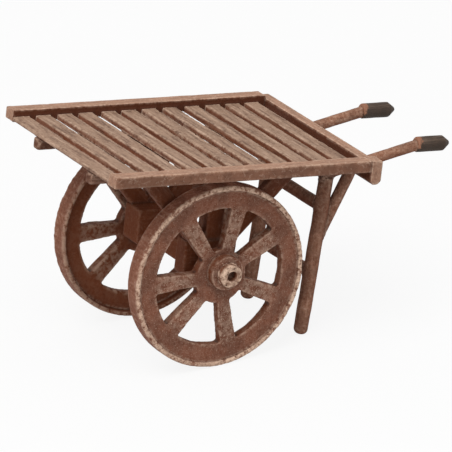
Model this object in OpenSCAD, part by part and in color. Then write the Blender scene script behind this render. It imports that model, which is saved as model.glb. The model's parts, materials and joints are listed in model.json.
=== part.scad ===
// Model hand barrow: a slatted deck on two spoked wheels, two rear legs and two handles.
// +X runs from the open front end to the handles, +Y to the right, +Z up, ground at Z = 0.

/* [Deck] */
// Length of the deck
deck_l = 28; // [22:0.5:36]
// Width of the deck over both side rails
deck_w = 21; // [18:0.5:27]
// Width of a side rail
rail_w = 1.45; // [0.9:0.05:2.4]
// Height of a side rail
rail_h = 1.1; // [0.9:0.05:1.8]
// Step from the top of the rails down to the boards
board_drop = 0.6; // [0.4:0.02:0.7]
// Thickness of a deck board
board_t = 0.56; // [0.4:0.02:0.66]
// Mean gap between two deck boards
board_gap = 0.7; // [0.4:0.02:1]
// Width of the first board at the front end
front_board_w = 1.72; // [1:0.02:2.4]
// Thickness of the first board at its bevelled front edge
front_board_t = 0.36; // [0.26:0.02:0.4]
// Width of the rear cross beam along the deck
beam_w = 1.2; // [0.8:0.05:2]
// Height of the rear cross beam
beam_h = 2.3; // [1.8:0.1:3.2]
// Step from the top of the rails down to the top of the rear cross beam
beam_drop = 0.35; // [0.1:0.05:0.7]

/* [Bearers and handles] */
// Width of a bearer
bearer_w = 1.15; // [0.8:0.05:1.6]
// Height of a bearer
bearer_h = 1.02; // [0.9:0.02:1.8]
// Distance from the deck's side to the middle of a bearer, before the shift
bearer_inset = 5.55; // [5.2:0.05:5.65]
// How far bearers, handles and legs were built off the deck's middle
frame_shift = -0.5; // [-0.5:0.05:0.5]
// Diameter of a handle shaft
handle_d = 1.06; // [0.8:0.02:1.4]
// Rise of a handle shaft above the deck's own plane, in degrees
handle_rise = 13.3; // [8:0.1:20]
// Distance from the deck's rear end to the bend of a handle
handle_reach = 6.9; // [4.5:0.1:9]
// Diameter of a grip
grip_d = 1.48; // [1.1:0.02:1.8]
// Length of a grip
grip_l = 3.55; // [2.4:0.05:5]
// Diameter of the blunt end of a grip
grip_tip_d = 0.4; // [0.2:0.02:0.8]

/* [Legs] */
// Diameter of a leg
leg_d = 1.4; // [1.16:0.02:1.8]
// Length of a leg below its handle
leg_l = 15.6; // [14:0.1:18]
// Rake of a leg towards the front end, in degrees
leg_rake = 2.9; // [0:0.1:6]
// Distance from the deck's rear end to the top of a leg
leg_setback = 2.72; // [2.2:0.1:4]
// Diameter of a leg brace
brace_d = 1.16; // [0.8:0.02:1.3]
// Depth of the brace's lower end below the deck
brace_drop = 9.2; // [7.5:0.1:10]
// Diameter of a stretcher between the legs
stretcher_d = 1.24; // [0.8:0.02:1.32]
// Depth of the upper stretcher below the deck
upper_stretcher_drop = 5.9; // [4.8:0.1:7]
// Depth of the lower stretcher below the deck
lower_stretcher_drop = 12.3; // [10:0.1:13.5]

/* [Axle] */
// Distance from the deck's front end to the axle
axle_x = 13.65; // [12:0.05:15]
// Depth of the axle below the top of the rails
axle_drop = 11.2; // [10.6:0.05:12]
// Diameter of the axle rod
axle_d = 0.8; // [0.6:0.02:1]
// Mean width of the two axle blocks across the deck
block_w = 2.28; // [1.7:0.02:3]
// Length of an axle block along the deck
block_l = 5.4; // [4:0.1:6.4]
// Rise of an axle block above the middle of the axle
block_rise = 2.9; // [2.2:0.1:3.4]
// Depth of an axle block below the middle of the axle
block_sink = 0.58; // [0.52:0.02:1.2]
// Thickness of the posts and struts across the deck
support_t = 0.95; // [0.8:0.05:1.2]
// Length of a post along the deck
post_l = 1.8; // [1.4:0.05:2.8]
// Depth of a strut, square to its own length
strut_d = 1.7; // [1:0.05:2.1]
// Distance from the post's middle to the outer edge of a strut's top
strut_spread = 8.4; // [6.5:0.1:9.5]
// Height of the axle beam
axle_beam_h = 1.9; // [1.5:0.05:2.6]
// Length of the axle beam along the deck
axle_beam_l = 1.9; // [1.4:0.05:2.6]

/* [Wheels] */
// Outer radius of a wheel
wheel_r = 8.75; // [8:0.05:9.3]
// Width of a tread
tread_w = 1.92; // [1.76:0.02:2.2]
// Distance from the deck's side in to the outer face of a wheel
wheel_inset = 2.5; // [2.35:0.05:2.7]
// Thickness of a tyre
tyre_t = 0.45; // [0.3:0.01:0.7]
// Recess of the spokes behind the tyre's outer face
web_recess = 0.24; // [0.16:0.02:0.6]
// Thickness of the spokes and felloe
web_t = 1.05; // [0.7:0.02:1.2]
// Inner radius of the felloe
felloe_r = 6.55; // [6:0.05:7]
// Number of spokes
spoke_count = 7; // [5:1:10]
// Width of a spoke at the nave
spoke_w = 1.3; // [0.8:0.02:1.6]
// Width that a spoke gains on its way to the felloe
spoke_flare = 0.4; // [0:0.05:0.6]
// Radius of the fillets where spokes meet felloe and nave
spoke_fillet = 0.15; // [0.1:0.05:0.8]
// Radius of the flat nave between the spokes
nave_r = 2.6; // [2.2:0.05:3]
// Turn of the first spoke, in degrees
spoke_phase = 27; // [0:1:51]
// Radius of the round hub
hub_r = 1.65; // [1.4:0.05:2]
// Height of the round hub above the spokes
hub_h = 1.0; // [0.8:0.05:1.4]
// Radius of the ring on the end of the hub
hub_ring_r = 1.12; // [0.9:0.02:1.3]
// Height of the ring on the end of the hub
hub_ring_h = 0.9; // [0.5:0.05:1.2]
// Radius of the open hole in the hub ring
hub_hole_r = 0.46; // [0.3:0.01:0.6]
// Height of the left hub above the wheel's centre, as it was glued on
left_hub_lift = 0.6; // [0:0.05:0.6]
// Distance of the left hub behind the wheel's centre, as it was glued on
left_hub_shift = 0.25; // [0:0.05:0.3]

/* [Hidden] */

// Finishes
brown = [0.42, 0.27, 0.20];
pale_brown = [0.56, 0.43, 0.35];
dark_brown = [0.25, 0.14, 0.10];
charcoal = [0.25, 0.23, 0.21];

// Clearances
running_gap = 0.05;   // round a turning shaft, on the radius
end_play = 0.06;      // under the axle's heads
side_gap = 0.35;      // between a wheel and its axle block
far = 60;             // longer than the whole model

// Deck
board_count = 12;
board_bottom = board_drop + board_t;
front_bevel_l = 0.4;
board_w = (deck_l - beam_w - front_board_w - board_count * board_gap) / (board_count - 1);
inner_w = deck_w - 2 * rail_w;
edge_round = 0.16;
rail_round = 0.1;
beam_chamfer = 0.35;
board_shift = [-0.05, 0, -0.02, 0.16, 0.08, 0.02, 0.04, 0.18, 0.2, 0.1, -0.04];   // uneven laying

// Bearers and handles
bearer_drop = board_bottom + bearer_h;
bearer_y = deck_w / 2 - bearer_inset;
handle_drop = 2.11;         // shaft's middle at the deck's rear end
leg_top_x = deck_l - leg_setback;
handle_start_x = leg_top_x - leg_d / 2;
knee_x = deck_l + handle_reach;
grip_overlap = 0.35;        // of a grip over its handle's bend
grip_start_x = knee_x - grip_overlap;
grip_cone_l = 0.75;
grip_round = 0.1;
function handle_z(x) = -handle_drop + (x - deck_l) * tan(handle_rise);
grip_z = handle_z(knee_x);
grip_tip_x = grip_start_x + grip_l;

// Legs
foot_round = 0.55;
saddle = handle_d / 4;
leg_top_z = handle_z(leg_top_x);
foot_x = leg_top_x - leg_l * sin(leg_rake);
foot_z = leg_top_z - leg_l * cos(leg_rake);
brace_top_x = deck_l;
function leg_x(z) = leg_top_x + (z - leg_top_z) * tan(leg_rake);

// Axle blocks, posts and struts
support_y = deck_w / 2 - wheel_inset - tread_w - side_gap;    // their outer faces
block_top = axle_drop - block_rise;
block_bottom = axle_drop + block_sink;
block_chamfer = 0.3;
post_shift = 0.15;          // of the posts behind the axle
post_x = axle_x + post_shift;
strut_slope = atan2(strut_spread, axle_drop - bearer_drop);
strut_cut = strut_d / cos(strut_slope);
strut_foot = (axle_drop - block_top) * tan(strut_slope);

// Running gear
web_r = wheel_r - tyre_t;
bore_r = axle_d / 2 + running_gap;
nave_rise = 0.6;            // of the nave behind the spokes
nave_back = web_recess + web_t + nave_rise;
head_lip = 0.14;
head_r = axle_d / 2 + head_lip;
head_h = 0.3;
head_gap = 0.1;             // outside an axle's head
pocket_r = head_r + running_gap;
pocket_h = end_play + head_h + head_gap;
spoke_skew = [6, 1, -3, 3, -5, 0, 4, 1, -1, 2];     // uneven spacing, in degrees
spoke_shift = 0.15;         // of the spokes' centre behind the wheel's
wheel_y = deck_w / 2 - wheel_inset;

// The pitch at which wheels and feet both stand on the ground
heel_x = foot_x + foot_round * sin(leg_rake) + (leg_d / 2 - foot_round) * cos(leg_rake);
heel_z = foot_z + foot_round * cos(leg_rake) - (leg_d / 2 - foot_round) * sin(leg_rake);
heel_dx = heel_x - axle_x;
heel_dz = -axle_drop - heel_z;
pitch = asin((wheel_r - foot_round) / norm([heel_dx, heel_dz])) - atan2(heel_dz, heel_dx);

// The ground below the middle of the model's box is the origin
front_x = -bearer_drop * sin(pitch);
rear_x = grip_tip_x * cos(pitch) + (grip_z + grip_tip_d / 2) * sin(pitch);
origin_x = (front_x + rear_x) / 2;
deck_z = wheel_r + axle_x * sin(pitch) + axle_drop * cos(pitch);

// Puts the deck's own frame at its height and pitch
module stand() {
    translate([-origin_x, 0, deck_z])
        rotate([0, pitch, 0])
            children();
}

// The right-hand piece, mirrored for the left side
module side(left) {
    mirror([0, left ? 1 : 0, 0])
        children();
}

// The same for the pieces that are built off the deck's middle
module frame_side(left) {
    translate([0, frame_shift, 0])
        side(left)
            children();
}

// A box given by its two corners
module block(low, high) {
    translate(low)
        cube(high - low);
}

// A round rod between two points in the plane y = const
module rod(from, to, y, d) {
    run = to - from;
    translate([from[0], y, from[1]])
        rotate([0, atan2(run[0], run[1]), 0])
            cylinder(d = d, h = norm(run), $fn = 40);
}

// A flat outline drawn in x and z, as thick as y_low to y_high
module slab(points, y_low, y_high) {
    translate([0, y_high, 0])
        rotate([90, 0, 0])
            linear_extrude(y_high - y_low)
                polygon(points);
}

// ---- Deck ----
module front_board() {
    color(pale_brown) stand()
        slab([
            [0, -board_drop], [front_board_w, -board_drop], [front_board_w, -board_bottom],
            [front_bevel_l, -board_bottom], [0, -board_drop - front_board_t]
        ], -inner_w / 2, inner_w / 2);
}

// Boards are counted from the front end, and the second is the first plain one
module deck_board(i) {
    x = front_board_w + board_gap + (i - 2) * (board_w + board_gap) + board_shift[i - 2];
    color(pale_brown) stand()
        block([x, -inner_w / 2, -board_bottom], [x + board_w, inner_w / 2, -board_drop]);
}

module side_rail(left) {
    c = rail_round;
    color(pale_brown) stand() side(left)
        rotate([90, 0, 90])
            linear_extrude(deck_l - beam_w)
                polygon([
                    [inner_w / 2, -rail_h], [deck_w / 2 - c, -rail_h], [deck_w / 2, -rail_h + c],
                    [deck_w / 2, -c], [deck_w / 2 - c, 0], [inner_w / 2, 0]
                ]);
}

// Cut down between the rails, and out through its right-hand end
module rear_cross_beam() {
    c = beam_chamfer;
    front = deck_l - beam_w;
    color(pale_brown) stand() difference() {
        slab([
            [front, 0], [deck_l - rail_round, 0], [deck_l, -rail_round],
            [deck_l, -beam_h + c], [deck_l - c, -beam_h], [front + c, -beam_h], [front, -beam_h + c]
        ], -deck_w / 2, deck_w / 2);
        block([0, -inner_w / 2, -beam_drop], [far, deck_w, far]);
        both_handle_shafts();
    }
}

module bearer(left) {
    c = edge_round;
    y = bearer_y - bearer_w / 2;
    color(brown) stand() frame_side(left) difference() {
        rotate([90, 0, 90])
            linear_extrude(deck_l - beam_w)
                polygon([
                    [y, -board_bottom], [y, -bearer_drop + c], [y + c, -bearer_drop],
                    [y + bearer_w - c, -bearer_drop], [y + bearer_w, -bearer_drop + c],
                    [y + bearer_w, -board_bottom]
                ]);
        handle_shaft();
    }
}

// ---- Handles ----
module handle_shaft() {
    rod([handle_start_x, handle_z(handle_start_x)], [knee_x, grip_z], bearer_y, handle_d);
}

module both_handle_shafts() {
    for (left = [true, false])
        frame_side(left)
            handle_shaft();
}

module handle(left) {
    color(brown) stand() frame_side(left) difference() {
        handle_shaft();
        grip_blank();
    }
}

module grip_blank() {
    translate([grip_start_x, bearer_y, grip_z])
        rotate([0, 90, 0])
            cylinder(d = grip_d, h = grip_l, $fn = 48);
}

module grip(left) {
    r = grip_d / 2;
    c = grip_round;
    color(charcoal) stand() frame_side(left)
        translate([grip_start_x, bearer_y, grip_z])
            rotate([0, 90, 0])
                rotate_extrude($fn = 48)
                    polygon([
                        [0, 0], [r - c, 0], [r, c],
                        [r, grip_l - grip_cone_l], [grip_tip_d / 2, grip_l], [0, grip_l]
                    ]);
}

// ---- Legs ----
module leg_shaft() {
    r = leg_d / 2;
    c = foot_round;
    length = leg_l - saddle;
    translate([foot_x, bearer_y, foot_z])
        rotate([0, leg_rake, 0])
            rotate_extrude($fn = 48)
                polygon(concat(
                    [[0, length], [0, 0]],
                    [for (a = [0:10:90]) [r - c + c * sin(a), c - c * cos(a)]],
                    [[r, length]]
                ));
}

module leg(left) {
    color(brown) stand() frame_side(left) difference() {
        leg_shaft();
        handle_shaft();
    }
}

module leg_brace(left) {
    low_z = -brace_drop;
    color(brown) stand() frame_side(left) difference() {
        rod([leg_x(low_z), low_z], [brace_top_x, handle_z(brace_top_x)], bearer_y, brace_d);
        block([0, 0, -beam_h], [far, deck_w, 0]);
        leg_shaft();
        handle_shaft();
    }
}

module stretcher(drop) {
    color(dark_brown) stand() difference() {
        translate([leg_x(-drop), frame_shift, -drop])
            rotate([90, 0, 0])
                cylinder(d = stretcher_d, h = 2 * bearer_y, center = true, $fn = 40);
        for (left = [true, false])
            frame_side(left)
                leg_shaft();
    }
}

// ---- Axle and its supports ----
module axle() {
    reach = wheel_y - web_recess;
    color(dark_brown) stand()
        translate([axle_x, 0, -axle_drop])
            rotate([90, 0, 0]) {
                cylinder(d = axle_d, h = 2 * reach + 2 * end_play, center = true, $fn = 40);
                for (flip = [0, 1])
                    mirror([0, 0, flip])
                        translate([0, 0, reach + end_play])
                            cylinder(r = head_r, h = head_h, $fn = 40);
            }
}

module axle_hole() {
    translate([axle_x, 0, -axle_drop])
        rotate([90, 0, 0])
            cylinder(d = axle_d, h = far, center = true, $fn = 40);
}

// Inner face of an axle block; the two blocks differ in width by the shift
function block_y(left) = support_y - block_w + (left ? -frame_shift : frame_shift);

module axle_beam() {
    half = axle_beam_l / 2;
    low = -block_bottom;
    color(dark_brown) stand() difference() {
        block([axle_x - half, -block_y(true), low], [axle_x + half, block_y(false), low + axle_beam_h]);
        axle_hole();
    }
}

module axle_block(left) {
    half = block_l / 2;
    c = block_chamfer;
    low = -block_bottom;
    color(dark_brown) stand() side(left) difference() {
        slab([
            [axle_x - half, -block_top], [axle_x + half, -block_top], [axle_x + half, low + c],
            [axle_x + half - c, low], [axle_x - half + c, low], [axle_x - half, low + c]
        ], block_y(left), support_y);
        axle_hole();
    }
}

module post_blank() {
    half = post_l / 2;
    block([post_x - half, support_y - support_t, -block_top], [post_x + half, support_y, -bearer_drop]);
}

module axle_post(left) {
    color(dark_brown) stand() side(left)
        post_blank();
}

// Runs from the bearer down to the axle block; way is -1 for the front strut and 1 for the rear one
module strut(left, way) {
    top_x = post_x + way * strut_spread;
    low_x = post_x + way * strut_foot;
    across = way * strut_cut;
    color(dark_brown) stand() side(left) difference() {
        slab([
            [top_x, -bearer_drop], [top_x - across, -bearer_drop],
            [low_x - across, -block_top], [low_x, -block_top]
        ], support_y - support_t, support_y);
        post_blank();
    }
}

// ---- Wheels ----
// Turns a wheel's own frame, with +Z out of its outer face, on to the right-hand side
module on_axle(left) {
    stand() side(left)
        translate([axle_x, wheel_y, -axle_drop])
            rotate([-90, 0, 0])
                mirror([0, 1, 0])
                    children();
}

module tyre(left) {
    color(brown) on_axle(left)
        rotate_extrude($fn = 160)
            polygon([
                [web_r, -tread_w], [wheel_r - edge_round, -tread_w], [wheel_r, -tread_w + edge_round],
                [wheel_r, -edge_round], [wheel_r - edge_round, 0], [web_r, 0]
            ]);
}

function spoke_angle(i) = spoke_phase + (i % spoke_count) * 360 / spoke_count + spoke_skew[i % spoke_count];

module spoke_outline(i) {
    narrow = spoke_w / 2;
    wide = narrow + spoke_flare / 2;
    translate([spoke_shift, 0])
        rotate(spoke_angle(i))
            polygon([
                [0, -narrow], [nave_r, -narrow], [felloe_r, -wide], [wheel_r + spoke_shift, -wide],
                [wheel_r + spoke_shift, wide], [felloe_r, wide], [nave_r, narrow], [0, narrow]
            ]);
}

module window_outline(i) {
    f = spoke_fillet;
    from = spoke_angle(i);
    to = spoke_angle(i + 1) + (i == spoke_count - 1 ? 360 : 0);
    offset(r = f, $fn = 32) offset(delta = -f) difference() {
        intersection() {
            circle(felloe_r, $fn = 120);
            translate([spoke_shift, 0])
                polygon(concat([[0, 0]], [for (t = [0:0.25:1]) wheel_r * 1.3 * [cos(from + t * (to - from)),
                    sin(from + t * (to - from))]]));
        }
        translate([spoke_shift, 0])
            circle(nave_r, $fn = 96);
        spoke_outline(i);
        spoke_outline(i + 1);
    }
}

module spoked_centre(left) {
    color(brown) on_axle(left) difference() {
        union() {
            translate([0, 0, -web_recess - web_t])
                cylinder(r = web_r, h = web_t, $fn = 160);
            translate([0, 0, -nave_back])
                cylinder(r = hub_r, h = nave_back - web_recess, $fn = 48);
        }
        translate([0, 0, -nave_back - 1])
            cylinder(r = bore_r, h = nave_back + 1, $fn = 40);
        for (i = [0:spoke_count - 1])
            translate([0, 0, -web_recess - web_t - 1])
                linear_extrude(web_t + 2)
                    window_outline(i);
    }
}

// Where a hub stands in its wheel's own frame
function hub_at(left) = left ? [left_hub_shift, left_hub_lift] : [0, 0];

module hub(left) {
    color(brown) on_axle(left) difference() {
        translate([hub_at(left)[0], hub_at(left)[1], -web_recess])
            cylinder(r = hub_r, h = hub_h, $fn = 48);
        translate([0, 0, -web_recess - 1])
            cylinder(r = pocket_r, h = pocket_h + 1, $fn = 40);
    }
}

module hub_ring(left) {
    color(pale_brown) on_axle(left)
        translate([hub_at(left)[0], hub_at(left)[1], -web_recess + hub_h])
            rotate_extrude($fn = 48)
                polygon([
                    [hub_hole_r, 0], [hub_ring_r, 0], [hub_ring_r, hub_ring_h - edge_round],
                    [hub_ring_r - edge_round, hub_ring_h], [hub_hole_r, hub_ring_h]
                ]);
}

front_board();  // deck_board_01
deck_board(2);  // deck_board_02
deck_board(3);  // deck_board_03
deck_board(4);  // deck_board_04
deck_board(5);  // deck_board_05
deck_board(6);  // deck_board_06
deck_board(7);  // deck_board_07
deck_board(8);  // deck_board_08
deck_board(9);  // deck_board_09
deck_board(10);  // deck_board_10
deck_board(11);  // deck_board_11
deck_board(12);  // deck_board_12
side_rail(true);  // side_rail_left
side_rail(false);  // side_rail_right
rear_cross_beam();
bearer(true);  // bearer_left
bearer(false);  // bearer_right
handle(true);  // handle_left
handle(false);  // handle_right
grip(true);  // grip_left
grip(false);  // grip_right
leg(true);  // leg_left
leg(false);  // leg_right
leg_brace(true);  // leg_brace_left
leg_brace(false);  // leg_brace_right
stretcher(upper_stretcher_drop);  // upper_stretcher
stretcher(lower_stretcher_drop);  // lower_stretcher
axle();
axle_beam();
axle_block(true);  // axle_block_left
axle_block(false);  // axle_block_right
axle_post(true);  // axle_post_left
axle_post(false);  // axle_post_right
strut(true, -1);  // front_strut_left
strut(false, -1);  // front_strut_right
strut(true, 1);  // rear_strut_left
strut(false, 1);  // rear_strut_right
tyre(true);  // tyre_left
tyre(false);  // tyre_right
spoked_centre(true);  // spoked_centre_left
spoked_centre(false);  // spoked_centre_right
hub(true);  // hub_left
hub(false);  // hub_right
hub_ring(true);  // hub_ring_left
hub_ring(false);  // hub_ring_right
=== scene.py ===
"""Finish for a printed and painted model hand barrow: worn boards, brushed paint, wheels, light and camera.

Every piece is worked from its own solid in the frame: the surface is made fine, its edges are rounded, and
the marks of printing, painting and handling are cut into it. Until a piece is done, lengths are in
millimetres in the deck's own frame: X along the deck from its open front end, Y to the right and Z square
to the boards.
"""

import json
import math

import bmesh
import bpy
import numpy as np
from bpy.props import FloatProperty, FloatVectorProperty, IntProperty, PointerProperty
from mathutils import Matrix, Vector
from mathutils.bvhtree import BVHTree

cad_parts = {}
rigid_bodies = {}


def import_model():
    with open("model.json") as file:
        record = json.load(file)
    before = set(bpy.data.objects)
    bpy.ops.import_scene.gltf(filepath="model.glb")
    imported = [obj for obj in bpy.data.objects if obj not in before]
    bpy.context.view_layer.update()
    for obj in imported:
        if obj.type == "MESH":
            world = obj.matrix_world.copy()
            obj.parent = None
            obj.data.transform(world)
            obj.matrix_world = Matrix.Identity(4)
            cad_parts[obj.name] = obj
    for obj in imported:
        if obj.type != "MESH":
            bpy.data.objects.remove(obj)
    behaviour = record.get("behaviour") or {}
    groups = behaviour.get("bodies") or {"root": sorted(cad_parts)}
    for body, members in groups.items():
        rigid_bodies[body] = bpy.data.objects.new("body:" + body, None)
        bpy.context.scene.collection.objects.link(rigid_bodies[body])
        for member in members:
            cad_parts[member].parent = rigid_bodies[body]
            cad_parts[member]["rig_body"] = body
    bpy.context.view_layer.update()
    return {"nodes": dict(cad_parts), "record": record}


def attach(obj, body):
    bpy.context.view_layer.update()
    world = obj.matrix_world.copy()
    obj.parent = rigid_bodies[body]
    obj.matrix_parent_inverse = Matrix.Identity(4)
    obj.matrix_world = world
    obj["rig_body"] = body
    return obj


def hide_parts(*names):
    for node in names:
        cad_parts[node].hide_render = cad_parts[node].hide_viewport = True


bl_info = {
    "name": "Model Hand Barrow Finish",
    "version": (1, 0, 0),
    "blender": (4, 5, 0),
    "location": "3D View > Sidebar > Barrow",
    "description": "Worn and painted finish for a printed model hand barrow",
    "category": "Object",
}

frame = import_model()
NODES = frame["nodes"]
MM = 0.001

# Directions in the deck's frame
ALONG = (1, 0, 0)
ACROSS = (0, 1, 0)
UPRIGHT = (0, 0, 1)

# Lengths in millimetres: how far the dark wash reaches from a joint, how deep two pieces that touch
# overlap, between which distances a surface opens up beside a joint, and the height of a print layer
WASH_REACH = 0.35
JOINT_OVERLAP = 0.04
JOINT_CLOSED = 0.06
JOINT_OPEN = 0.2
PRINT_LAYER = 0.137

# How much a surface turns where an edge is worn bare, and between which turns it is nicked
WORN_TURN = 0.007
CUT_TURN = (0.001, 0.01)

# How squarely a face looks up from where the brush begins to reach it to where it covers it
UPWARD = (0.75, 0.97)
PAINT_SPECULAR = 0.25

# The lamps' distance in metres, the camera's in millimetres of the deck's frame, and its lens
LAMP_DISTANCE = 0.6
CAMERA_DISTANCE = 732.18
FOCAL_LENGTH = 637.67

# The rays that see the floor and the room as white
SEEN_RAYS = ("Is Camera Ray", "Is Glossy Ray", "Is Transmission Ray")


# ---- The deck's own frame ----
def reach(node, direction):
    """The lowest and highest distance of a node's corners along a direction, in metres."""
    heights = [vertex.co.dot(direction) for vertex in NODES[node].data.vertices]
    return min(heights), max(heights)


def deck_frame():
    """The matrix from deck millimetres to metres in the model's frame."""
    load_face = next(m for m in frame["record"]["mounts"] if m["name"] == "deck_load_face")
    up = Vector(load_face["axis"]).normalized()
    along = Vector((up.z, 0, -up.x))
    start = along * reach("side_rail_left", along)[0] + up * reach("side_rail_left", up)[1]
    turn = Matrix((along, Vector((0, 1, 0)), up)).transposed().to_4x4()
    return Matrix.Translation(start) @ turn @ Matrix.Scale(MM, 4)


FROM_DECK = deck_frame()
TO_DECK = FROM_DECK.inverted()


def deck_box(node):
    """The lowest and highest corners of a node in deck millimetres."""
    points = np.array([TO_DECK @ vertex.co for vertex in NODES[node].data.vertices])
    return points.min(0), points.max(0)


# ---- Random marks ----
def scatter(cell, seed):
    """An even random number from 0 to 1 for each whole-numbered cell."""
    mixed = (cell[:, 0] * 73856093) ^ (cell[:, 1] * 19349663) ^ (cell[:, 2] * 83492791) ^ (seed * 2654435761)
    mixed = (mixed ^ (mixed >> 13)) * 1274126177 & 0xFFFFFFFF
    mixed = (mixed ^ (mixed >> 16)) * 2246822519 & 0xFFFFFFFF
    return ((mixed ^ (mixed >> 15)) & 0xFFFFF) / 0xFFFFF


def bumps(points, size, seed):
    """Smooth random values from 0 to 1 at points, with bumps of a size that may differ by axis."""
    scaled = points / np.array(size, float)
    cell = np.floor(scaled).astype(np.int64)
    part = scaled - cell
    part = part * part * (3 - 2 * part)
    total = np.zeros(len(points))
    for corner in np.ndindex(2, 2, 2):
        weight = np.prod(np.where(corner, part, 1 - part), axis=1)
        total += weight * scatter(cell + np.array(corner), seed)
    return total


def rough(points, size, seed, layers=3):
    """Random values from 0 to 1 with finer and finer bumps laid over each other."""
    total = np.zeros(len(points))
    share = 0.5
    for layer in range(layers):
        total += share * bumps(points, np.array(size, float) / 2**layer, seed + 17 * layer)
        share /= 2
    return total / (1 - 2 * share)


def ramp(values, low, high):
    """Values eased from 0 at low to 1 at high."""
    part = np.clip((values - low) / (high - low), 0, 1)
    return part * part * (3 - 2 * part)


# ---- Fine meshes worked from the solids ----
class Surface:
    """A fine mesh of one solid, in deck millimetres, that marks are cut into."""

    def __init__(self, node, cell):
        mesh = NODES[node].data.copy()
        mesh.transform(TO_DECK)
        blank = bpy.data.objects.new(node + "_blank", mesh)
        bpy.context.scene.collection.objects.link(blank)
        remesh = blank.modifiers.new("fine", "REMESH")
        remesh.mode = "VOXEL"
        remesh.voxel_size = cell
        remeshed = blank.evaluated_get(bpy.context.evaluated_depsgraph_get())
        self.mesh = bpy.data.meshes.new_from_object(remeshed)
        bpy.data.objects.remove(blank)
        self.node = node
        count = len(self.mesh.vertices)
        if count == 0:
            raise RuntimeError("no surface could be made for " + node)
        self.points = np.empty(count * 3)
        self.mesh.vertices.foreach_get("co", self.points)
        self.points = self.points.reshape(-1, 3)
        edges = np.empty(len(self.mesh.edges) * 2, np.int64)
        self.mesh.edges.foreach_get("vertices", edges)
        self.edges = edges.reshape(-1, 2)
        self.share = np.bincount(self.edges.ravel(), minlength=count)[:, None]
        self.near = self.distance_to_neighbours()

    def distance_to_neighbours(self):
        """Each point's distance to the nearest other solid of the same body, up to the wash's reach."""
        corners, faces = [], []
        for other, piece in NODES.items():
            if other != self.node and piece["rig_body"] == NODES[self.node]["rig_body"]:
                first = len(corners)
                corners += [TO_DECK @ vertex.co for vertex in piece.data.vertices]
                faces += [[first + corner for corner in face.vertices] for face in piece.data.polygons]
        tree = BVHTree.FromPolygons(corners, faces)
        found = (tree.find_nearest(point, WASH_REACH)[3] for point in self.points)
        return np.array([WASH_REACH if distance is None else distance for distance in found])

    def averaged(self, values):
        """Each point's mean over its neighbours."""
        total = np.empty_like(values)
        first, second = self.edges.T
        for column in range(values.shape[1]):
            data = values[:, column]
            total[:, column] = np.bincount(first, data[second], len(data))
            total[:, column] += np.bincount(second, data[first], len(data))
        return total / self.share

    def eased(self, rounds):
        """Rounds the edges."""
        for _ in range(rounds):
            self.points += 0.5 * (self.averaged(self.points) - self.points)
        return self

    def normals(self):
        """The outward direction at each point."""
        self.mesh.vertices.foreach_set("co", self.points.ravel())
        self.mesh.update()
        found = np.empty(len(self.points) * 3)
        self.mesh.vertices.foreach_get("normal", found)
        return found.reshape(-1, 3)

    def corners(self, rounds=3):
        """How much the surface turns at each point: above 0 on outer edges and below 0 in inner corners."""
        turn = ((self.points - self.averaged(self.points)) * self.normals()).sum(1)[:, None]
        for _ in range(rounds):
            turn = self.averaged(turn)
        return turn[:, 0]

    def sunk(self, depth):
        """Moves the surface inwards by a depth at each point, but for joints, which it closes."""
        open_share = ramp(self.near, JOINT_CLOSED, JOINT_OPEN)
        inwards = open_share * np.maximum(depth, 0) - JOINT_OVERLAP * (1 - open_share)
        self.points -= self.normals() * inwards[:, None]
        return self


def finish_piece(surface, name, body, slot, grain, brushed=UPRIGHT, extra=None):
    """Turns a surface into a piece of the model: its marks for the paint, its paint and its body."""
    turn = surface.corners()
    facing = surface.normals() @ (np.array(brushed, float) / np.linalg.norm(brushed))
    at_joint = 0.45 * (1 - ramp(surface.near, 0.0, WASH_REACH))
    # Painted shade under the deck: full from 2.4 millimetres below the boards' tops, none from 6 millimetres
    # down, fading out from 25.5 millimetres along, where the handles run out
    below_deck_shade = ramp(surface.points[:, 2], -6.0, -2.4) * (1 - ramp(surface.points[:, 0], 25.5, 27.5))
    marks = {
        "worn_edge": ramp(turn, 0.12 * WORN_TURN, WORN_TURN),
        "inner_corner": np.maximum(ramp(-turn, 0.1 * WORN_TURN, WORN_TURN), at_joint),
        "brushed": ramp(facing, -0.1, 0.8),
        "height": surface.points[:, 2],
        "sheltered": below_deck_shade,
    }
    marks.update(extra or {})
    mesh = surface.mesh
    for mark, values in marks.items():
        mesh.attributes.new(mark, "FLOAT", "POINT").data.foreach_set("value", values.astype(np.float32))
    along = np.array(grain, float) / np.linalg.norm(grain)
    drawn = (surface.points - 0.9 * np.outer(surface.points @ along, along)).astype(np.float32)
    mesh.attributes.new("grain", "FLOAT_VECTOR", "POINT").data.foreach_set("vector", drawn.ravel())
    mesh.transform(FROM_DECK)
    mesh.shade_smooth()
    mesh.materials.clear()
    mesh.materials.append(painted(slot))
    piece = bpy.data.objects.new(name, mesh)
    bpy.context.scene.collection.objects.link(piece)
    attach(piece, body)
    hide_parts(surface.node)
    return piece


# ---- Shader maths ----
class Wire:
    """A socket that can be used in plain expressions."""

    def __init__(self, paint, socket):
        self.paint = paint
        self.socket = socket

    def maths(self, operation, *values):
        return self.paint.node("ShaderNodeMath", {"operation": operation}, *values)

    def __add__(self, other):
        return self.maths("ADD", self, other)

    def __radd__(self, other):
        return self.maths("ADD", other, self)

    def __sub__(self, other):
        return self.maths("SUBTRACT", self, other)

    def __rsub__(self, other):
        return self.maths("SUBTRACT", other, self)

    def __mul__(self, other):
        return self.maths("MULTIPLY", self, other)

    def __rmul__(self, other):
        return self.maths("MULTIPLY", other, self)

    def sine(self):
        return self.maths("SINE", self)

    def most(self, other):
        return self.maths("MAXIMUM", self, other)


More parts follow.
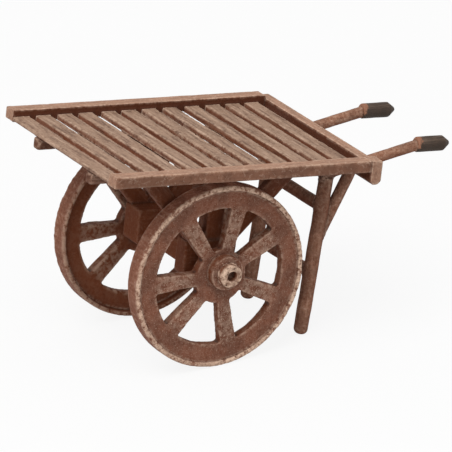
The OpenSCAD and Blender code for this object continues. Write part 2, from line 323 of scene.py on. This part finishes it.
class Paint:
    """One painted finish: its material and the nodes that mix it."""

    def __init__(self, name):
        self.material = bpy.data.materials.new(name)
        self.material.use_nodes = True
        self.tree = self.material.node_tree
        self.shader = self.tree.nodes["Principled BSDF"]

    def plug(self, value, socket):
        if isinstance(value, Wire):
            self.tree.links.new(value.socket, socket)
        else:
            socket.default_value = value

    def node(self, kind, settings, *values, output=0, **named):
        made = self.tree.nodes.new(kind)
        for setting, value in settings.items():
            setattr(made, setting, value)
        for socket, value in zip(made.inputs, values):
            self.plug(value, socket)
        for key, value in named.items():
            self.plug(value, made.inputs[key.replace("_", " ")])
        return Wire(self, made.outputs[output])

    def mark(self, name):
        """A number that the piece's mesh carries."""
        return self.node("ShaderNodeAttribute", {"attribute_name": name}, output="Fac")

    def grain(self):
        """Places drawn out along the piece's grain."""
        return self.node("ShaderNodeAttribute", {"attribute_name": "grain"}, output="Vector")

    def place(self):
        """Places on the piece in millimetres."""
        spot = self.node("ShaderNodeTexCoord", {}, output="Object")
        return self.node("ShaderNodeVectorMath", {"operation": "SCALE"}, Vector=spot, Scale=1 / MM)

    def noise(self, places, scale, detail=4.0, roughness=0.6, twist=0.0):
        """Random values round 0.5, with this many bumps to the millimetre."""
        return self.node(
            "ShaderNodeTexNoise", {},
            Vector=places, Scale=scale, Detail=detail, Roughness=roughness, Distortion=twist,
        )

    def eased(self, value, low, high, start=0.0, end=1.0):
        """A value eased from start at low to end at high."""
        return self.node(
            "ShaderNodeMapRange", {"interpolation_type": "SMOOTHSTEP"}, value, low, high, start, end
        )

    def mix(self, factor, first, second):
        """One colour over another."""
        made = self.tree.nodes.new("ShaderNodeMix")
        made.data_type = "RGBA"
        self.plug(factor, made.inputs["Factor"])
        for key, colour in (("A", first), ("B", second)):
            socket = next(s for s in made.inputs if s.name == key and s.type == "RGBA")
            self.plug(colour, socket)
        return Wire(self, next(s for s in made.outputs if s.type == "RGBA"))

    def done(self, colour, roughness, height, depth):
        """Joins the colour, the roughness and the relief, whose full depth is in millimetres."""
        self.plug(colour, self.shader.inputs["Base Color"])
        self.plug(roughness, self.shader.inputs["Roughness"])
        self.shader.inputs["Specular IOR Level"].default_value = PAINT_SPECULAR
        relief = self.node("ShaderNodeBump", {}, Strength=1.0, Distance=depth * MM, Height=height)
        self.plug(relief, self.shader.inputs["Normal"])
        return self.material


def display(red, green, blue):
    """A colour given as it looks on a display, from 0 to 255, as the shader wants it."""
    return [
        ((c / 255 + 0.055) / 1.055) ** 2.4 if c > 10 else c / 255 / 12.92
        for c in (red, green, blue)
    ] + [1.0]


class Coats:
    """The coats of one paint: red-brown undercoat, brushed topcoat, dark wash and pale dry-brushing."""

    def __init__(self, slot):
        self.paint = Paint(slot + "_paint")
        self.place = self.paint.place()
        self.zones = self.paint.noise(self.place, 0.4, 4.0, 0.6)
        self.streak = self.paint.noise(self.paint.grain(), 2.8, 5.0, 0.68)
        self.grit = self.paint.noise(self.place, 3.4, 4.0, 0.75)
        self.crumbs = self.paint.noise(self.place, 1.7, 4.0, 0.7)

    def base(self, under, top, patch, cover=1.0):
        """The topcoat, in patches of two shades, over the undercoat, which shows where no brush reached."""
        paint = self.paint
        coat = paint.mix(paint.eased(self.zones, 0.38, 0.6), top, patch)
        covered = paint.mark("brushed") * paint.eased(self.crumbs, 0.2, 0.5, 0.75, 1.0)
        self.colour = paint.mix(covered * cover, under, coat)

    def wash(self, dark, streaks, grit):
        """The dark wash that stays in the grain, the grit and the inner corners."""
        paint = self.paint
        self.colour = paint.mix(paint.eased(self.streak, 0.5, 0.34) * streaks, self.colour, dark)
        self.colour = paint.mix(paint.eased(self.grit, 0.48, 0.34) * grit, self.colour, dark)
        corner = paint.mark("inner_corner") * paint.eased(self.crumbs, 0.3, 0.6, 0.6, 1.0)
        self.colour = paint.mix(corner, self.colour, dark)

    def shelter(self, dark, share):
        """Painted shade: a darker copy of the wash colour close under the deck, standing in for the shade
        that falls there.
        """
        paint = self.paint
        shade_amount = paint.mark("sheltered") * paint.eased(self.crumbs, 0.3, 0.7, 1.0, 0.7)
        self.colour = paint.mix(shade_amount * share, self.colour, shade(dark, 0.7))

    def drybrush(self, pale, streaks, grit, wear, dust=1.0):
        """The pale dry-brushing, on the high grain, the grit and the worn edges."""
        paint = self.paint
        share = paint.eased(self.zones, 0.62, 0.36, 0.35, 1.0) * paint.mark("brushed") * dust
        specks = paint.eased(self.grit, 0.52, 0.68) * grit * share
        lines = paint.eased(self.streak, 0.5, 0.68) * streaks * share
        self.colour = paint.mix(lines.most(specks), self.colour, pale)
        worn = paint.mark("worn_edge") * paint.eased(self.crumbs, 0.36, 0.6) * wear
        self.colour = paint.mix(worn, self.colour, pale)

    def done(self, relief, streaks=0.6, roughness=0.8):
        """The relief of grain, grit and print layers, and the finished material."""
        paint = self.paint
        layers = (paint.mark("height") * (2 * math.pi / PRINT_LAYER)).sine()
        height = self.streak * streaks + self.grit * 0.8 + layers * 0.06
        dull = paint.eased(self.grit, 0.3, 0.7, roughness + 0.1, roughness - 0.1)
        return paint.done(self.colour, dull, height, relief)


# ---- Settings ----
def colour_setting(name, description, default):
    return FloatVectorProperty(
        name=name, description=description, subtype="COLOR_GAMMA", default=default, min=0, max=1
    )


class BarrowColours(bpy.types.PropertyGroup):
    """The paints of the model, as they look on a display."""

    boards: colour_setting("Boards", "Grey-brown of the deck boards", (0.57, 0.46, 0.385))
    rails: colour_setting("Rails", "Brown of the deck's rails", (0.60, 0.46, 0.38))
    frame: colour_setting("Frame", "Brown of the bearers, handles and legs", (0.545, 0.375, 0.29))
    wheels: colour_setting("Wheels", "Red-brown of the wheels", (0.475, 0.295, 0.22))
    undercoat: colour_setting("Undercoat", "Dark red-brown below the brushed paint", (0.42, 0.215, 0.11))
    # The wash colour also gives the painted shade close under the deck
    wash: colour_setting("Wash", "Dark wash in the corners", (0.24, 0.13, 0.09))
    drybrush: colour_setting("Dry-brushing", "Pale tan on the worn edges", (0.82, 0.70, 0.61))
    grips: colour_setting("Grips", "Charcoal of the grips", (0.24, 0.19, 0.155))


class BarrowSizes(bpy.types.PropertyGroup):
    """How finely the surfaces are worked, and how worn they are."""

    cell: FloatProperty(
        name="Cell", description="Size of the finest mesh cell, in millimetres",
        default=0.103, min=0.06, max=0.3,
    )
    nick: FloatProperty(
        name="Nicks", description="Depth of the nicks in the edges, in millimetres",
        default=0.07, min=0, max=0.3,
    )
    groove: FloatProperty(
        name="Grooves", description="Depth of the grooves of the grain, in millimetres",
        default=0.035, min=0, max=0.1,
    )
    grit: FloatProperty(
        name="Grit", description="Depth of the grit of the paint, in millimetres",
        default=0.02, min=0, max=0.1,
    )
    floor: FloatProperty(
        name="Floor", description="Width of the floor",
        subtype="DISTANCE", unit="LENGTH", default=4.0, min=1, max=10,
    )
    seed: IntProperty(name="Seed", description="Start of the random marks", default=7, min=0, max=1000)


def settings():
    """The sizes that the panel shows."""
    return bpy.context.scene.barrow_sizes


def paint_colour(name):
    """One of the panel's colours, as the shader wants it."""
    return display(*(255 * c for c in getattr(bpy.context.scene.barrow_colours, name)))


def shade(colour, factor):
    """A colour made darker or paler."""
    return [min(c * factor, 1.0) for c in colour[:3]] + [1.0]


def painted(slot):
    """The paint for one of the record's material slots."""
    if slot + "_paint" not in bpy.data.materials:
        raise RuntimeError("the paints come first: there is none for " + slot)
    return bpy.data.materials[slot + "_paint"]


class BARROW_OT_paints(bpy.types.Operator):
    """Mix the paints that the pieces take"""

    bl_idname = "barrow.paints"
    bl_label = "Paints"

    def execute(self, context):
        boards, rails, frame_brown, wheels = (paint_colour(n) for n in ("boards", "rails", "frame", "wheels"))
        under, wash, pale, grips = (paint_colour(n) for n in ("undercoat", "wash", "drybrush", "grips"))
        for slot, top, patch, streaks, grit, wear in (
            ("weathered_boards", boards, shade(boards, 1.12), 0.55, 0.3, 0.5),
            ("brown_frame", frame_brown, shade(frame_brown, 0.7), 0.25, 0.4, 0.25),
            ("dark_underframe", shade(under, 1.2), under, 0.1, 0.15, 0.1),
            ("worn_hub_rings", shade(rails, 1.05), shade(rails, 0.55), 0.1, 0.9, 1.0),
        ):
            coats = Coats(slot)
            coats.base(under, top, patch)
            # The frame paints also take painted shade close under the deck
            if slot in ("brown_frame", "dark_underframe"):
                coats.shelter(wash, 0.6)
            coats.wash(wash, streaks, grit)
            coats.drybrush(pale, streaks, grit, wear)
            coats.done(0.025)
        self.rails(under, rails, frame_brown, wash, pale)
        self.wheels(under, wheels, wash, pale)
        self.tyres(under, wheels, wash, pale)
        self.grips(grips, frame_brown, pale)
        return {"FINISHED"}

    def rails(self, under, rails, frame_brown, wash, pale):
        """Tan on the tops and dark brown on the faces, with pale scratches and a pale line on the edges."""
        coats = Coats("weathered_rails")
        paint = coats.paint
        tops = paint.mark("tops")
        patches = paint.eased(coats.zones, 0.4, 0.6)
        face = paint.mix(patches, shade(frame_brown, 0.58), shade(frame_brown, 0.76))
        coats.colour = paint.mix(paint.mark("outward"), shade(under, 0.6), face)
        coats.wash(wash, 0.2, 0.35)
        scratches = paint.noise(coats.place, 1.6, 2.0, 0.5, 1.5)
        marks = paint.eased(scratches, 0.58, 0.61) * paint.eased(scratches, 0.65, 0.62) * (1 - tops)
        coats.colour = paint.mix(marks * paint.mark("outward") * 0.35, coats.colour, shade(pale, 0.7))
        coat = paint.mix(paint.eased(coats.streak, 0.36, 0.62), shade(rails, 0.85), shade(rails, 1.25))
        coats.colour = paint.mix(tops * paint.eased(coats.crumbs, 0.25, 0.45, 0.8, 1.0), coats.colour, coat)
        coats.colour = paint.mix(paint.eased(coats.grit, 0.5, 0.7) * tops * 0.45, coats.colour, pale)
        worn = paint.mark("worn_edge") * paint.eased(coats.crumbs, 0.36, 0.6) * (tops * 0.5 + 0.2)
        coats.colour = paint.mix(worn, coats.colour, pale)
        coats.done(0.02)

    def wheels(self, under, wheels, wash, pale):
        """Fine speckle over red-brown, palest on the spokes."""
        coats = Coats("brown_wheels")
        paint = coats.paint
        dust = paint.mark("dust")
        speckle = paint.noise(coats.place, 7.5, 2.0, 0.7)
        coats.base(under, wheels, shade(wheels, 0.7))
        coats.wash(wash, 0.1, 0.35)
        dusty = paint.eased(coats.crumbs, 0.4, 0.62) * dust * 0.4
        coats.colour = paint.mix(dusty, coats.colour, shade(pale, 0.6))
        flecks = paint.eased(speckle, 0.54, 0.7) * (dust * 0.5 + 0.2) * paint.mark("brushed")
        coats.colour = paint.mix(flecks, coats.colour, shade(pale, 0.9))
        coats.drybrush(shade(pale, 0.85), 0.1, 0.25, 0.35, dust)
        coats.done(0.02)

    def tyres(self, under, wheels, wash, pale):
        """Red-brown tread, and a pale crust on the outer edge."""
        coats = Coats("worn_tyres")
        paint = coats.paint
        coats.base(under, shade(wheels, 1.15), wheels, 0.9)
        coats.wash(wash, 0.2, 0.4)
        coats.drybrush(shade(pale, 0.8), 0.3, 0.5, 0.5)
        crust = paint.mark("rubbed") * paint.eased(coats.crumbs, 0.38, 0.52, 0.2, 1.0)
        crust = crust * paint.eased(coats.zones, 0.35, 0.6, 0.55, 1.0)
        coats.colour = paint.mix(crust * paint.eased(coats.grit, 0.38, 0.58, 0.25, 1.0), coats.colour, pale)
        coats.done(0.025)

    def grips(self, charcoal, brown, pale):
        """Charcoal, with the handle's brown paint ragged over its start."""
        coats = Coats("charcoal_grips")
        paint = coats.paint
        coats.colour = paint.mix(paint.eased(coats.crumbs, 0.35, 0.65), charcoal, shade(charcoal, 0.75))
        rubbed = paint.mark("brushed") * paint.eased(coats.streak, 0.4, 0.7, 0.0, 0.14)
        coats.colour = paint.mix(rubbed, coats.colour, pale)
        ragged = paint.eased(paint.mark("overlap") + (coats.grit - 0.5) * 1.6, 0.45, 0.65)
        coats.colour = paint.mix(ragged, coats.colour, brown)
        coats.done(0.012, 0.2, 0.7)


def simple(node, body, slot, grain, seed, brushed=(-0.3, -0.6, 0.8), dents=0.03, dust=0.0):
    """A piece with rounded, dented and gritty surfaces."""
    sizes = settings()
    surface = Surface(node, sizes.cell).eased(2)
    dent = dents * ramp(bumps(surface.points, (1.1, 1.1, 1.1), seed), 0.3, 0.9)
    grit = sizes.grit * rough(surface.points, (0.4, 0.4, 0.4), seed + 1)
    surface.sunk(0.004 + dent + grit)
    extra = {"dust": np.full(len(surface.points), dust)}
    return finish_piece(surface, node + "_worn", body, slot, grain, brushed, extra=extra)


class BARROW_OT_boards(bpy.types.Operator):
    """Work the deck boards: grooves along the grain, ragged edges and small nicks"""

    bl_idname = "barrow.boards"
    bl_label = "Deck boards"

    def execute(self, context):
        sizes = settings()
        boards = sorted(node for node in NODES if node.startswith("deck_board_"))
        for number, node in enumerate(boards):
            seed = sizes.seed + 31 * number
            top = deck_box(node)[1][2]
            surface = Surface(node, 0.8 * sizes.cell).eased(1)
            turn = ramp(surface.corners(2), *CUT_TURN)
            upper = ramp(surface.points[:, 2], top - 0.35, top - 0.12)
            groove = sizes.groove * ramp(rough(surface.points, (0.16, 3.5, 0.5), seed), 0.4, 0.7)
            wave = 0.04 * bumps(surface.points, (9, 1.6, 9), seed + 1)
            nick = sizes.nick * ramp(bumps(surface.points, (0.45, 0.45, 0.45), seed + 2), 0.6, 0.9)
            surface.sunk(0.004 + upper * (groove + turn * (nick + wave)))
            brushed = (-0.6, 0, 0.8) if node == boards[0] else UPRIGHT
            finish_piece(surface, node + "_worn", "barrow", "weathered_boards", ACROSS, brushed)
        return {"FINISHED"}


def brushed_tops(surface):
    """Where the brush reached: what looks up, out of the deck's front or out of the beam's ends."""
    normals = surface.normals()
    front = (surface.points[:, 0] < 1) * ramp(-normals[:, 0], *UPWARD)
    beam_ends = (surface.node == "rear_cross_beam") * ramp(np.abs(normals[:, 1]), *UPWARD)
    return np.maximum(ramp(normals[:, 2], *UPWARD), np.maximum(0.8 * front, 0.6 * beam_ends))


def outer_faces(surface):
    """Where a piece's surface doesn't look in towards the middle of the deck."""
    normals = surface.normals()
    inner_side = -np.sign(surface.points[:, 1]) * normals[:, 1] * (surface.points[:, 0] < 26.9)
    inner_end = -normals[:, 0] * (surface.points[:, 0] > 20)
    return 1 - ramp(np.maximum(inner_side, inner_end), 0.2, 0.7)


class BARROW_OT_rails(bpy.types.Operator):
    """Work the side rails and the rear cross beam"""

    bl_idname = "barrow.rails"
    bl_label = "Rails and cross beam"

    def execute(self, context):
        sizes = settings()
        for number, (node, grain, drawn) in enumerate((
            ("side_rail_left", ALONG, (4, 0.2, 0.2)),
            ("side_rail_right", ALONG, (4, 0.2, 0.2)),
            ("rear_cross_beam", ACROSS, (0.2, 4, 0.2)),
        )):
            seed = sizes.seed + 1000 + 31 * number
            surface = Surface(node, 0.8 * sizes.cell).eased(1)
            turn = ramp(surface.corners(2), *CUT_TURN)
            groove = 0.4 * sizes.groove * ramp(rough(surface.points, drawn, seed), 0.5, 0.8)
            pits = 0.6 * sizes.grit * ramp(bumps(surface.points, (0.35, 0.35, 0.35), seed + 1), 0.6, 0.95)
            nick = sizes.nick * turn * ramp(bumps(surface.points, (0.7, 0.7, 0.7), seed + 2), 0.75, 0.95)
            marks = {"tops": brushed_tops(surface), "outward": outer_faces(surface)}
            surface.sunk(groove + pits + nick)
            finish_piece(surface, node + "_worn", "barrow", "weathered_rails", grain, extra=marks)
        return {"FINISHED"}


class BARROW_OT_underframe(bpy.types.Operator):
    """Work the bearers, handles, legs, braces, stretchers and the axle's supports"""

    bl_idname = "barrow.underframe"
    bl_label = "Underframe"

    def execute(self, context):
        seed = settings().seed + 2000
        for side in ("_left", "_right"):
            simple("bearer" + side, "barrow", "brown_frame", ALONG, seed + 1)
            simple("handle" + side, "barrow", "brown_frame", ALONG, seed + 2)
            simple("leg" + side, "barrow", "brown_frame", UPRIGHT, seed + 3)
            simple("leg_brace" + side, "barrow", "brown_frame", UPRIGHT, seed + 4)
            simple("axle_block" + side, "barrow", "dark_underframe", ALONG, seed + 5)
            simple("axle_post" + side, "barrow", "dark_underframe", UPRIGHT, seed + 6)
            simple("front_strut" + side, "barrow", "dark_underframe", (1, 0, -1), seed + 7)
            simple("rear_strut" + side, "barrow", "dark_underframe", (1, 0, 1), seed + 8)
        simple("upper_stretcher", "barrow", "brown_frame", ACROSS, seed + 9, UPRIGHT)
        simple("lower_stretcher", "barrow", "brown_frame", ACROSS, seed + 10, UPRIGHT)
        simple("axle", "barrow", "dark_underframe", ACROSS, seed + 11)
        simple("axle_beam", "barrow", "dark_underframe", ACROSS, seed + 12)
        return {"FINISHED"}


class BARROW_OT_grips(bpy.types.Operator):
    """Work the charcoal grips"""

    bl_idname = "barrow.grips"
    bl_label = "Grips"

    def execute(self, context):
        for side in ("_left", "_right"):
            self.grip("grip" + side, settings().seed + 3000)
        return {"FINISHED"}

    def grip(self, node, seed):
        """A grip, smooth but for faint dents, with the handle's paint over its top near the start."""
        low, high = deck_box(node)
        surface = Surface(node, 0.08).eased(2)
        surface.sunk(0.01 + 0.03 * bumps(surface.points, (0.9, 0.9, 0.9), seed))
        radius = (high[2] - low[2]) / 2
        over_top = (surface.points[:, 2] - low[2] - radius) / radius
        start = (surface.points[:, 0] - low[0]) / radius
        overlap = 1 - ramp(start - 0.5 * over_top, -0.5, 0.9)
        finish_piece(surface, node + "_worn", "barrow", "charcoal_grips", ALONG, extra={"overlap": overlap})


class BARROW_OT_wheels(bpy.types.Operator):
    """Work the tyres, spoked centres, hubs and hub rings"""

    bl_idname = "barrow.wheels"
    bl_label = "Wheels"

    def execute(self, context):
        seed = settings().seed + 4000
        for side, out in (("_left", -1), ("_right", 1)):
            body = "wheel" + side
            brushed = (0, out, 0.25)
            self.tyre("tyre" + side, body, out, brushed, seed)
            self.centre("spoked_centre" + side, body, brushed, seed + 10)
            simple("hub" + side, body, "brown_wheels", ACROSS, seed + 20, brushed, dust=0.5)
            simple("hub_ring" + side, body, "worn_hub_rings", ACROSS, seed + 30, brushed, 0.1)
        return {"FINISHED"}

    def centre(self, node, body, brushed, seed):
        """Spokes and felloe, with most of the pale dust on the spokes' faces."""
        sizes = settings()
        surface = Surface(node, sizes.cell).eased(1)
        dent = 0.04 * ramp(bumps(surface.points, (1.1, 1.1, 1.1), seed), 0.3, 0.9)
        surface.sunk(0.01 + dent + sizes.grit * rough(surface.points, (0.4, 0.4, 0.4), seed + 1))
        low, high = deck_box(node)
        from_axle = (surface.points - (low + high) / 2)[:, [0, 2]]
        radius = np.linalg.norm(from_axle, axis=1) / ((high - low)[2] / 2)
        spokes = ramp(radius, 0.28, 0.4) * (1 - ramp(radius, 0.72, 0.84))
        dust = {"dust": 0.15 + 0.85 * spokes}
        finish_piece(surface, node + "_worn", body, "brown_wheels", UPRIGHT, brushed, extra=dust)

    def tyre(self, node, body, out, brushed, seed):
        """A tyre with cross lines on its tread and a pitted crust on its outer edge."""
        sizes = settings()
        surface = Surface(node, sizes.cell).eased(2)
        centre = surface.points.mean(0)
        beyond = out * (surface.points[:, 1] - centre[1])
        rubbed = ramp(beyond, beyond.max() - 0.3, beyond.max() - 0.1)
        lines = 0.02 * rough(surface.points, (0.25, 3, 0.25), seed)
        pits = 0.09 * rubbed * ramp(rough(surface.points, (0.45, 0.45, 0.45), seed + 1), 0.45, 0.75)
        surface.sunk(0.01 + lines + pits)
        from_centre = surface.points - centre
        radial = from_centre / np.linalg.norm(from_centre[:, [0, 2]], axis=1)[:, None]
        tread = ramp((surface.normals() * radial).sum(1), 0.2, 0.8)
        crust = {"rubbed": rubbed}
        piece = finish_piece(surface, node + "_worn", body, "worn_tyres", ACROSS, brushed, extra=crust)
        mark = piece.data.attributes["brushed"].data
        values = np.empty(len(tread), np.float32)
        mark.foreach_get("value", values)
        mark.foreach_set("value", np.maximum(values, tread).astype(np.float32))


def direction(turn, height):
    """The way to a point turned from the near side and raised, both in radians."""
    level = math.cos(height)
    return Vector((math.sin(turn) * level, -math.cos(turn) * level, math.sin(height)))


class BARROW_OT_stage(bpy.types.Operator):
    """Lay the pale floor, set the soft lamps and place the camera"""

    bl_idname = "barrow.stage"
    bl_label = "Floor, lamps and camera"

    def execute(self, context):
        self.floor()
        self.lamps()
        self.camera()
        return {"FINISHED"}

    def floor(self):
        """A pale floor that shows as white but keeps the shadow."""
        half = settings().floor / 2
        mesh = bpy.data.meshes.new("floor")
        work = bmesh.new()
        bmesh.ops.create_grid(work, x_segments=8, y_segments=8, size=half)
        work.to_mesh(mesh)
        work.free()
        floor = bpy.data.objects.new("floor", mesh)
        bpy.context.scene.collection.objects.link(floor)
        paint = Paint("white_floor")
        paint.shader.inputs["Roughness"].default_value = 0.9
        pale = paint.mix(paint.noise(paint.place(), 0.02), display(225, 225, 225), display(221, 221, 221))
        paint.plug(pale, paint.shader.inputs["Base Color"])
        glow = paint.node("ShaderNodeEmission", {}, (1, 1, 1, 1), 1.0)
        seen = [paint.node("ShaderNodeLightPath", {}, output=ray) for ray in SEEN_RAYS]
        share = (seen[0] + seen[1] + seen[2]) * 0.88
        both = paint.node("ShaderNodeMixShader", {}, share, Wire(paint, paint.shader.outputs[0]), glow)
        paint.plug(both, paint.tree.nodes["Material Output"].inputs["Surface"])
        mesh.materials.append(paint.material)

    def lamps(self):
        """A soft room, seen as white, and two square lamps."""
        world = bpy.data.worlds.new("soft_room")
        world.use_nodes = True
        nodes = world.node_tree.nodes
        background = nodes["Background"]
        background.inputs["Color"].default_value = (1, 1, 1, 1)
        background.inputs["Strength"].default_value = 0.5
        white = nodes.new("ShaderNodeBackground")
        white.inputs["Color"].default_value = (1, 1, 1, 1)
        ray = nodes.new("ShaderNodeLightPath")
        seen = nodes.new("ShaderNodeMath")
        seen_too = nodes.new("ShaderNodeMath")
        both = nodes.new("ShaderNodeMixShader")
        links = world.node_tree.links
        links.new(ray.outputs[SEEN_RAYS[0]], seen.inputs[0])
        links.new(ray.outputs[SEEN_RAYS[1]], seen.inputs[1])
        links.new(seen.outputs[0], seen_too.inputs[0])
        links.new(ray.outputs[SEEN_RAYS[2]], seen_too.inputs[1])
        links.new(seen_too.outputs[0], both.inputs[0])
        links.new(background.outputs[0], both.inputs[1])
        links.new(white.outputs[0], both.inputs[2])
        links.new(both.outputs[0], nodes["World Output"].inputs["Surface"])
        bpy.context.scene.world = world
        for name, turn, height, power, size in (
            ("top_lamp", -60, 60, 2.75, 0.4),
            ("side_lamp", 20, 30, 0.55, 0.5),
        ):
            self.lamp(name, math.radians(turn), math.radians(height), power, size)

    def lamp(self, name, turn, height, power, size):
        """A square soft lamp, turned from the near side and raised."""
        light = bpy.data.lights.new(name, "AREA")
        light.energy = power
        light.size = size
        lamp = bpy.data.objects.new(name, light)
        away = direction(turn, height)
        lamp.location = away * LAMP_DISTANCE
        lamp.rotation_euler = away.to_track_quat("Z", "Y").to_euler()
        bpy.context.scene.collection.objects.link(lamp)

    def camera(self):
        """A long lens, low at the left front corner, rolled a little."""
        turn, height, roll = math.radians(-31.89), math.radians(17.97), math.radians(6.825)
        aim = Vector((15.966, -4.124, -7.697))
        back = direction(turn, height)
        level = Vector((math.cos(turn), math.sin(turn), 0))
        right = math.cos(roll) * level + math.sin(roll) * back.cross(level)
        up = back.cross(right)
        view = Matrix((right, up, back)).transposed().to_4x4()
        lens = bpy.data.cameras.new("camera")
        lens.lens = FOCAL_LENGTH
        lens.sensor_width = 36
        lens.clip_start = 0.01
        lens.clip_end = 20
        camera = bpy.data.objects.new("camera", lens)
        tilt = (FROM_DECK.to_3x3() * (1 / MM)).to_4x4()
        spot = FROM_DECK @ (aim + back * CAMERA_DISTANCE)
        camera.matrix_world = Matrix.Translation(spot) @ tilt @ view
        bpy.context.scene.collection.objects.link(camera)
        bpy.context.scene.camera = camera


OPERATORS = (
    BARROW_OT_stage, BARROW_OT_paints, BARROW_OT_boards, BARROW_OT_rails, BARROW_OT_underframe,
    BARROW_OT_grips, BARROW_OT_wheels,
)


class BARROW_PT_panel(bpy.types.Panel):
    """The barrow's settings and steps"""

    bl_idname = "BARROW_PT_panel"
    bl_label = "Model Hand Barrow"
    bl_space_type = "VIEW_3D"
    bl_region_type = "UI"
    bl_category = "Barrow"

    def draw(self, context):
        for group in (context.scene.barrow_colours, context.scene.barrow_sizes):
            box = self.layout.box()
            for name in group.bl_rna.properties.keys():
                if name not in ("rna_type", "name"):
                    box.prop(group, name)
        for operator in OPERATORS:
            self.layout.operator(operator.bl_idname)


CLASSES = (BarrowColours, BarrowSizes, *OPERATORS, BARROW_PT_panel)


def register():
    for cls in CLASSES:
        bpy.utils.register_class(cls)
    bpy.types.Scene.barrow_colours = PointerProperty(type=BarrowColours)
    bpy.types.Scene.barrow_sizes = PointerProperty(type=BarrowSizes)


def unregister():
    del bpy.types.Scene.barrow_sizes
    del bpy.types.Scene.barrow_colours
    for cls in reversed(CLASSES):
        bpy.utils.unregister_class(cls)


def main():
    register()
    bpy.context.scene.view_settings.view_transform = "Standard"
    for operator in OPERATORS:
        group, name = operator.bl_idname.split(".")
        getattr(getattr(bpy.ops, group), name)()


if __name__ == "__main__":
    main()
